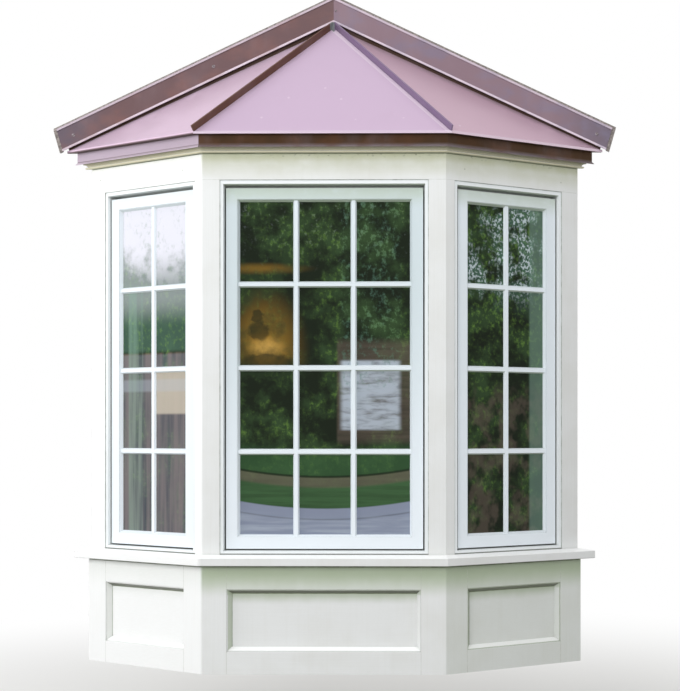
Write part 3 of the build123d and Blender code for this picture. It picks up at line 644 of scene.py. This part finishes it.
class BAY_OT_finish_flashings(bpy.types.Operator):
    """Finishes the fascia flashing, the rake flashing, the eave plate and the upstands"""
    bl_idname = "bay.finish_flashings"
    bl_label = "Finish Flashings"

    def execute(self, context):
        metal = context.scene.bay_metal

        def fascia_tones(colour, hem):
            def lay_fascia(tree, place):
                # The low band is painted paler as a painted sheen on the fold, with a thin dark line 8 to 12
                # mm up as painted shade
                low = rise(tree, place, UP, FASCIA_LOW + 0.016, FASCIA_LOW + 0.006)
                fold = band(tree, place, UP, FASCIA_LOW + 0.0075, FASCIA_LOW + 0.0120, 0.0008)
                return lay(tree, colour, (hem, 0.45, low), (metal.fascia, 0.45, fold))
            return lay_fascia

        def rake_tones(colour, side):
            outwards = 1 if side == "right" else -1
            square = (outwards * math.sin(RAKE), 0, math.cos(RAKE))
            foot = FLASHING_FOOT_LEVEL * math.cos(RAKE) + FLASHING_FOOT_X * math.sin(RAKE)
            low = foot + FLASHING_HEM
            top = foot + FLASHING_HEIGHT - FLASHING_HEM
            soft = 0.0004

            def lay_rake(tree, place):
                # The hems are painted bright as painted highlight
                ends = rise(tree, place, (outwards, 0, 0), 0.82, 1.06)
                top_hem = rise(tree, place, square, top - soft, top + soft)
                low_hem = rise(tree, place, square, low + soft, low - soft)
                return lay(tree, colour, (metal.slate, 0.65, ends), (metal.hem, 0.70, top_hem),
                           (metal.hem, 0.9, low_hem))
            return lay_rake

        def patchy(colour, patches):
            def lay_patches(tree, place):
                return lay(tree, colour, (patches, 0.5, cloud(tree, place, (12, 12, 12))))
            return lay_patches

        # Dark fascia on the front and right, pale on the left: painted reflection and painted light
        dark_fascia = fascia_tones(metal.fascia, metal.hem_dull)
        pale_fascia = fascia_tones(metal.fascia_left, metal.hem)
        dress(weathered_copper("weathered_copper_fascia", metal, dark_fascia, gloss=0.5,
                               bloom=(metal.fascia_warm, 0.5)), *sides("fascia_flashing", "front", "right"))
        dress(weathered_copper("weathered_copper_fascia_pale", metal, pale_fascia), "fascia_flashing_left")
        for side, bloom in (("left", (metal.red_bloom, 0.35)), ("right", (metal.blue_bloom, 0.45))):
            tones = rake_tones(getattr(metal, f"flashing_{side}"), side)
            dress(weathered_copper(f"weathered_copper_rake_{side}", metal, tones, bloom=bloom),
                  f"rake_flashing_{side}")
        # The upstands and the eave plate are painted dark: painted shade under the flashing's hem and under
        # the eave
        dress(weathered_copper("weathered_copper_upstands", metal, patchy(metal.upstands, metal.fascia)),
              "wall_upstands")
        dress(weathered_copper("weathered_copper_eave", metal, patchy(metal.fascia, metal.upstands)),
              "eave_plate")
        return {"FINISHED"}


class BAY_OT_glaze(bpy.types.Operator):
    """Glazes the three windows"""
    bl_idname = "bay.glaze"
    bl_label = "Glaze"

    def execute(self, context):
        glass = context.scene.bay_glass
        # Sealed unit of float glass before a dark room: nearly black and mirror smooth. Its colours are
        # painted reflection of a garden and sky, with a painted glow of lamplight in the room; these soft
        # shapes stand for most of what it reflects, so its own gloss is turned down
        material, tree, shader, place = start_material("float_glass_units", 0.03, IOR=1.5,
                                                       Specular_IOR_Level=0.07)
        # Clumps 0.1 m across hold leaves about 16 mm across, with bright gaps of 8 mm between them
        clumps = cloud(tree, place, (9, 9, 9), detail=6.0, roughness=0.62, low=0.40, high=0.66)
        leaves = cloud(tree, place, (60, 60, 50), detail=4.0, roughness=0.65, low=0.48, high=0.74)
        gaps = cloud(tree, place, (110, 110, 90), low=0.49, high=0.60)
        openings = cloud(tree, place, (13, 13, 10), low=0.44, high=0.60)
        drifts = cloud(tree, place, (5, 5, 70), low=0.3, high=0.75)
        courses = cloud(tree, place, (14, 14, 60), low=0.1, high=0.6)
        boards = cloud(tree, place, (40, 40, 2), detail=2.0, low=0.2, high=0.7)
        # The bushes' edge wanders by up to 24 mm, and the tree tops follow the clumps
        ragged = cloud(tree, place, (45, 45, 45), low=0.0, high=1.0)
        at_bushes = add_node(tree, "VectorMath", {"operation": "MULTIPLY_ADD"},
                             {0: ragged, 1: (0.024, 0, 0.024), 2: place}).outputs[0]
        at_trees = add_node(tree, "VectorMath", {"operation": "MULTIPLY_ADD"},
                            {0: clumps, 1: (0, 0, -0.10), 2: place}).outputs[0]
        # The garden's edges dip 30 mm in the middle of the front window, as a square of the place along it
        squares = add_node(tree, "VectorMath", {"operation": "MULTIPLY"}, {0: place, 1: place})
        dip = add_node(tree, "VectorMath", {"operation": "DOT_PRODUCT"},
                       {0: squares.outputs[0], 1: (-0.28, 0, 0)}).outputs["Value"]
        at_garden = add_node(tree, "VectorMath", {"operation": "MULTIPLY_ADD"},
                             {0: dip, 1: UP, 2: place}).outputs[0]

        # Masks by level on the panes and on the dipping garden, and by the place across the window
        from_level, levels = partial(rise, tree, place, UP), partial(band, tree, place, UP)
        from_edge, strip = partial(rise, tree, at_garden, UP), partial(band, tree, at_garden, UP)
        across = partial(band, tree, place, RIGHT)
        front, left, right = across(-0.42, 0.42), across(-1.0, -0.46), across(0.46, 1.0)
        wall_side, wall = across(0.045, 0.42), across(0.060, 0.275, 0.012)
        corner = FRONT_HALF * math.cos(SPLAY) - PROJECTION * math.sin(SPLAY)

        def along_flank(outwards, start, end):
            direction = (outwards * math.cos(SPLAY), math.sin(SPLAY), 0)
            return band(tree, place, direction, corner + start, corner + end)

        colour = lay(
            tree, glass.shade,
            (glass.foliage, 0.95, clumps),
            (glass.leaf, 0.60, clumps, leaves),
            # Front window: a painted glow of warm lamplight in the room at the left, with clipped bushes
            # before it
            (glass.lamp_glow, 0.75, spot(tree, place, (-0.225, 0.84), (0.18, 0.27), 0.95),
             levels(0.79, 1.2, 0.02)),
            (glass.lamp, 0.60, spot(tree, place, (-0.215, 0.855), (0.09, 0.055), 0.9)),
            (glass.lamp_glow, 0.45, spot(tree, place, (-0.25, 1.148), (0.24, 0.028), 1.0)),
            (glass.shade, 0.65, spot(tree, at_bushes, (-0.232, 0.930), (0.045, 0.045), 0.35)),
            (glass.shade, 0.65, spot(tree, at_bushes, (-0.236, 0.988), (0.028, 0.028), 0.35)),
            (glass.shade, 0.65, spot(tree, at_bushes, (-0.200, 0.812), (0.130, 0.045), 0.35)),
            (glass.shade, 0.60, front, clumps, rise(tree, place, RIGHT, 0.0, -0.1), levels(0.70, 1.20, 0.05)),
            (glass.gaps, 0.10, front, gaps, leaves, from_level(1.10, 1.30)),
            # A pale wall across the garden at the right
            (glass.bare_earth, 0.40, wall_side, levels(0.51, 0.88, 0.02)),
            (glass.shade, 0.40, wall_side, drifts, levels(0.51, 0.88, 0.01)),
            (glass.pale_wall, 0.90, wall, courses, levels(0.555, 0.81)),
            (glass.haze, 0.60, wall, leaves, from_level(0.69, 0.74)),
            # Below it the garden's far edge, its lawn and its paving
            (glass.lawn, 0.6, front, from_edge(0.50, 0.44)),
            (glass.bare_earth, 0.50, front, from_edge(0.385, 0.375)),
            (glass.shade, 0.8, front, strip(0.378, 0.386, 0.003)),
            (glass.lawn, 0.9, front, from_edge(0.350, 0.335)),
            (glass.shade, 0.35, front, drifts, from_edge(0.40, 0.30)),
            (glass.paving, 0.9, front, from_edge(0.268, 0.262)),
            (glass.shade, 0.35, front, strip(0.222, 0.228, 0.003)),
            (glass.pale_wall, 0.5, front, drifts, from_edge(0.25, 0.20)),
            # Left window: sky over distant trees, then a brown wall with a pale one before it
            (glass.haze, 0.45, left, from_level(0.84, 0.86)),
            (glass.leaf, 0.35, left, leaves, from_level(0.84, 0.86)),
            (glass.sky, 0.25, left, from_level(0.94, 1.06)),
            (glass.sky, 0.90, left, rise(tree, at_trees, UP, 1.06, 1.24)),
            (glass.haze, 0.30, left, leaves, openings, from_level(1.06, 1.12)),
            (glass.bare_earth, 0.85, left, levels(0.1, 0.845), boards),
            (glass.paving, 0.22, left, from_level(0.845, 0.835)),
            (glass.stucco, 0.75, left, along_flank(-1, 0.04, 0.27), levels(0.615, 0.78)),
            (glass.pale_wall, 0.30, left, levels(0.70, 0.745)),
            (glass.reveal, 0.40, left, boards, from_level(1.10, 1.08), along_flank(-1, 0.33, 0.405)),
            # Right window: leaves against the sky
            (glass.leaf, 0.35, right, leaves, from_level(0.80, 1.00)),
            (glass.haze, 0.55, right, openings, from_level(0.95, 1.15)),
            (glass.gaps, 0.75, right, gaps, openings, from_level(1.00, 1.15)),
            (glass.bare_earth, 0.35, right, openings, from_level(0.75, 0.65)),
            (glass.reveal, 0.38, right, along_flank(1, 0.375, 0.45)))
        waves = cloud(tree, place, (1.6, 1.6, 1.6), detail=0.0, low=0.2, high=0.8)
        cover(tree, shader, colour, (waves, 0.0006))
        dress(material, "glass")
        return {"FINISHED"}


class BAY_OT_grain_timber(bpy.types.Operator):
    """Gives the unpainted framing and the plywood their grain"""
    bl_idname = "bay.grain_timber"
    bl_label = "Grain Timber"

    def execute(self, context):
        dress(bare_wood("planed_pine_posts", "D8BC8C", "B58A58", (160, 160, 3)), "posts")
        dress(bare_wood("planed_pine_ledgers", "D8BC8C", "B58A58", (3, 160, 160)), "ledgers", "rafter_frame")
        dress(bare_wood("peeled_pine_plywood", "D2B484", "A97F50", (6, 70, 200)),
              "soffit_board", "seat_board", "head_board", "roof_deck")
        return {"FINISHED"}


class BAY_OT_fix_flashings(bpy.types.Operator):
    """Adds the screws and the rivet on the rake flashing"""
    bl_idname = "bay.fix_flashings"
    bl_label = "Fix Flashings"

    def execute(self, context):
        metal = context.scene.bay_metal

        # Zinc plating worn through here and there: dull grey with dark patches about 3 mm across
        def worn_plating(tree, place):
            return lay(tree, metal.hem_dull, (metal.fascia, 0.9, cloud(tree, place, (300, 300, 300))))

        steel = weathered_copper("plated_steel_screws", metal, worn_plating, gloss=0.3)
        outwards = Vector((0, -1, 0))
        mesh = bmesh.new()
        # A round washer 13 mm across under an 8 mm head
        screw = [(0.0065, 0), (0.0065, 0.0008), (0.0040, 0.0012), (0.0040, 0.0032), (0.0030, 0.0040),
                 (0, 0.0042)]
        for side, along, up in (("left", 0.064, 0.039), ("left", 0.669, 0.046), ("right", 0.058, 0.041)):
            add_turned(mesh, rake_point(side, along, up, FLASHING_FACE), outwards, screw)
        new_piece("flashing_screws", mesh, steel)

        mesh = bmesh.new()
        rivet = [(0.0035, 0), (0.0034, 0.0008), (0.0028, 0.0016), (0.0016, 0.0022), (0, 0.0024)]
        peak = Vector((0.008, -FLASHING_FACE - 0.001, FLASHING_PEAK_LEVEL + 0.045))
        add_turned(mesh, peak, outwards, rivet)
        new_piece("peak_rivet", mesh, steel, smooth=True)
        return {"FINISHED"}


class BAY_OT_seal_joints(bpy.types.Operator):
    """Seals the wall and the windows, and opens the paint at the boards' joints"""
    bl_idname = "bay.seal_joints"
    bl_label = "Seal Joints"

    def execute(self, context):
        # Acrylic sealant, gunned and smeared by hand: dull grey with lumps about 8 mm across
        dress(joint_filler("smeared_acrylic_sealant", 0.8, "A39A96", "6F6966", 120, high=0.75, lumps=0.002),
              "wall_sealant")

        # Paint film cracked along a butt joint: a dark hairline with paint left in it here and there
        crack = joint_filler("cracked_paint_line", 0.9, "A6AA9E", "CCD0C8", 60)
        half = 0.0004
        mesh = bmesh.new()
        for side, start, end in PANEL_SPANS:
            for along in (start, end):
                for low, high in ((BASE_LEVEL, PANEL_LOW), (PANEL_TOP, SILL_UNDERSIDE)):
                    add_bar(mesh, side, (along - half, low), (along + half, high))
        new_piece("apron_joint_lines", mesh, crack)

        # Where the frieze stands on the casings, beside each window
        mesh = bmesh.new()
        for (side, start, end), (_, near, far) in zip(FRIEZE_SPANS, WINDOW_SPANS):
            for low, high in ((start, near), (far, end)):
                add_bar(mesh, side, (low, HEAD_LEVEL - half), (high, HEAD_LEVEL + half), CASING_FACE)
        new_piece("frieze_joint_lines", mesh, crack)

        # Green grime and painted shadow: a matt dark line where the apron meets the sill, and the frieze the
        # cornice
        dirt_and_shade = joint_filler("damp_dirt_line", 0.9, "6A745C", "8C967E", 30)
        for name, places, level, height, face in (
            ("sill_dirt_lines", SILL_SPANS, SILL_UNDERSIDE, 0.0065, 0.0),
            ("frieze_dirt_lines", FRIEZE_SPANS, CORNICE_LOW, 0.0022, CASING_FACE),
        ):
            mesh = bmesh.new()
            for side, start, end in places:
                add_bar(mesh, side, (start, level - height), (end, level), face)
            new_piece(name, mesh, dirt_and_shade)

        # The same grime and painted shadow on the panels, along the top moulding and the one away from the
        # sun
        mesh = bmesh.new()
        width = 0.0018
        low, top = PANEL_LOW + MOULDING_WIDTH, PANEL_TOP - MOULDING_WIDTH
        for side, start, end in PANEL_SPANS:
            start, end = start + MOULDING_WIDTH, end - MOULDING_WIDTH
            add_bar(mesh, side, (start, top - width), (end, top), PANEL_FACE)
            edge = end - width if side == "left" else start
            add_bar(mesh, side, (edge, low), (edge + width, top - width), PANEL_FACE)
        new_piece("panel_dirt_lines", mesh, dirt_and_shade)

        # Acrylic caulk in the step between each window frame and the boards round it, smoothed by finger: a
        # little grimy, and painted dark along its foot on the sill, grime and painted shadow of the joint
        # there
        caulk = joint_filler("aged_acrylic_caulk", 0.7, "C4CBC8", "8E958E", 25, detail=4.0, low=0.35,
                             dark_foot=(SEAT_LEVEL + 0.0045, SEAT_LEVEL + 0.0042, "6A6E68"))
        mesh = bmesh.new()
        width, foot = 0.0022, 0.004
        for side, start, end in WINDOW_SPANS:
            for low, high in (((start, SEAT_LEVEL), (start + width, HEAD_LEVEL)),
                              ((end - width, SEAT_LEVEL), (end, HEAD_LEVEL)),
                              ((start + width, HEAD_LEVEL - width), (end - width, HEAD_LEVEL)),
                              ((start + width, SEAT_LEVEL), (end - width, SEAT_LEVEL + foot))):
                add_bar(mesh, side, low, high, FRAME_FACE, 0.0004)
        new_piece("frame_caulk", mesh, caulk)

        # Filled nail holes, 5 mm across, that show through the paint
        mesh = bmesh.new()
        dimple = [(0.0026, 0), (0.0024, 0.0004), (0, 0.0005)]
        for side, along, level in (("left", 0.53, HEAD_LEVEL + 0.050), ("right", 0.50, HEAD_LEVEL + 0.035),
                                   ("left", 0.10, HEAD_LEVEL + 0.045), ("right", 0.08, HEAD_LEVEL + 0.045)):
            centre = face_point(side, along, level, CASING_FACE)
            outwards = centre - face_point(side, along, level, CASING_FACE - 1.0)
            add_turned(mesh, centre, outwards, dimple, steps=12)
        new_piece("nail_fillings", mesh, crack, smooth=True)
        return {"FINISHED"}


class BAY_OT_set_stage(bpy.types.Operator):
    """Sets the floor, the lamps, the sky and the camera"""
    bl_idname = "bay.set_stage"
    bl_label = "Set Stage"

    def execute(self, context):
        stage = context.scene.bay_stage
        scene = context.scene
        scene.view_settings.view_transform = "Standard"

        def seen_directly(tree):
            """1 for what the camera, the metal and the glass see, 0 for what lights the bay."""
            rays = add_node(tree, "LightPath").outputs
            some = add_node(tree, "Math", {"operation": "ADD", "use_clamp": True},
                            {0: rays["Is Camera Ray"], 1: rays["Is Glossy Ray"]}).outputs[0]
            return add_node(tree, "Math", {"operation": "ADD", "use_clamp": True},
                            {0: some, 1: rays["Is Transmission Ray"]}).outputs[0]

        # Matt white paper floor, which fades into the white surround away from the bay. It sends less light
        # up under the bay than it shows
        material, tree, shader, place = start_material("paper_floor", 0.9, Specular_IOR_Level=0.1)
        seen = seen_directly(tree)
        cover(tree, shader, lay(tree, srgb("A8A8A6"), (srgb("EDEDEB"), 1.0, seen)))
        distance = add_node(tree, "VectorMath", {"operation": "LENGTH"}, {0: place})
        far = add_node(tree, "MapRange", SMOOTH, {
            "Value": distance.outputs["Value"], "From Min": 1.2, "From Max": 4.5}).outputs[0]
        faded = add_node(tree, "Math", {"operation": "MULTIPLY"}, {0: far, 1: seen}).outputs[0]
        white = add_node(tree, "Emission", None, {"Color": (1, 1, 1, 1), "Strength": 1.0})
        mix = add_node(tree, "MixShader", None, {0: faded, 1: shader.outputs[0], 2: white.outputs[0]})
        tree.links.new(mix.outputs[0], tree.nodes["Material Output"].inputs["Surface"])
        mesh = bmesh.new()
        bmesh.ops.create_circle(mesh, cap_ends=True, segments=96, radius=30)
        floor = make_object("floor", mesh, material)
        floor.location = (0, 0, BASE_LEVEL - stage.floor_drop)

        world = bpy.data.worlds.new("studio")
        scene.world = world
        world.use_nodes = True
        tree = world.node_tree
        tree.nodes.clear()
        strength = add_node(tree, "MapRange", None, {
            "Value": seen_directly(tree), "To Min": stage.sky, "To Max": 1.0}).outputs[0]
        sky = add_node(tree, "Background", None, {"Color": (1, 1, 1, 1), "Strength": strength})
        add_node(tree, "OutputWorld", None, {"Surface": sky.outputs[0]})

        # Large square lamps that all point at the windows, with their power from the settings
        target = Vector((0, -0.2, 0.85))
        for name, position, size in (("key", (-4.6, -1.4, 1.9), 2.6), ("front", (-1.6, -5.2, 2.6), 3.0),
                                     ("fill", (2.6, -4.6, 1.6), 3.0), ("top", (0, -2.4, 4.6), 3.0),
                                     ("back", (1.6, 4.8, 2.4), 3.0)):
            lamp = bpy.data.lights.new(name, "AREA")
            lamp.shape = "SQUARE"
            lamp.size = size
            lamp.energy = getattr(stage, name)
            holder = bpy.data.objects.new(name, lamp)
            holder.location = position
            holder.rotation_euler = (target - Vector(position)).to_track_quat("-Z", "Y").to_euler()
            # Metal and glass show the plain white surround and no lamps
            holder.visible_glossy = False
            scene.collection.objects.link(holder)

        # The camera looks level and nearly straight at the wall, from 4.95 m out and 0.65 m right of the
        # middle. Its lens is shifted left and up to the bay, so the uprights stay parallel
        camera = bpy.data.cameras.new("camera")
        camera.lens = 66.58
        camera.shift_x = -0.2127
        camera.shift_y = 0.1236
        holder = bpy.data.objects.new("camera", camera)
        holder.location = (0.647, -4.950, 0.551)
        holder.rotation_euler = (math.radians(90), 0, math.radians(0.63))
        scene.collection.objects.link(holder)
        scene.camera = holder
        return {"FINISHED"}


STEPS = (
    BAY_OT_paint_boards,
    BAY_OT_paint_sashes,
    BAY_OT_finish_roof,
    BAY_OT_finish_flashings,
    BAY_OT_glaze,
    BAY_OT_grain_timber,
    BAY_OT_fix_flashings,
    BAY_OT_seal_joints,
    BAY_OT_set_stage,
)


class BAY_PT_steps(bpy.types.Panel):
    """Sizes and colours of the bay window, and the steps that dress it"""
    bl_idname = "BAY_PT_steps"
    bl_label = "Bay Window"
    bl_space_type = "VIEW_3D"
    bl_region_type = "UI"
    bl_category = "Bay Window"

    def draw(self, context):
        for name, group in SETTINGS.items():
            box = self.layout.box()
            for held in group.__annotations__:
                box.prop(getattr(context.scene, name), held)
        for step in STEPS:
            self.layout.operator(step.bl_idname)


def register():
    for group in SETTINGS.values():
        bpy.utils.register_class(group)
    for name, group in SETTINGS.items():
        setattr(bpy.types.Scene, name, PointerProperty(type=group))
    for step in STEPS:
        bpy.utils.register_class(step)
    bpy.utils.register_class(BAY_PT_steps)


def unregister():
    bpy.utils.unregister_class(BAY_PT_steps)
    for step in reversed(STEPS):
        bpy.utils.unregister_class(step)
    for name, group in SETTINGS.items():
        delattr(bpy.types.Scene, name)
        bpy.utils.unregister_class(group)


def main():
    register()
    for step in STEPS:
        group, name = step.bl_idname.split(".")
        getattr(getattr(bpy.ops, group), name)()


if __name__ == "__main__":
    main()
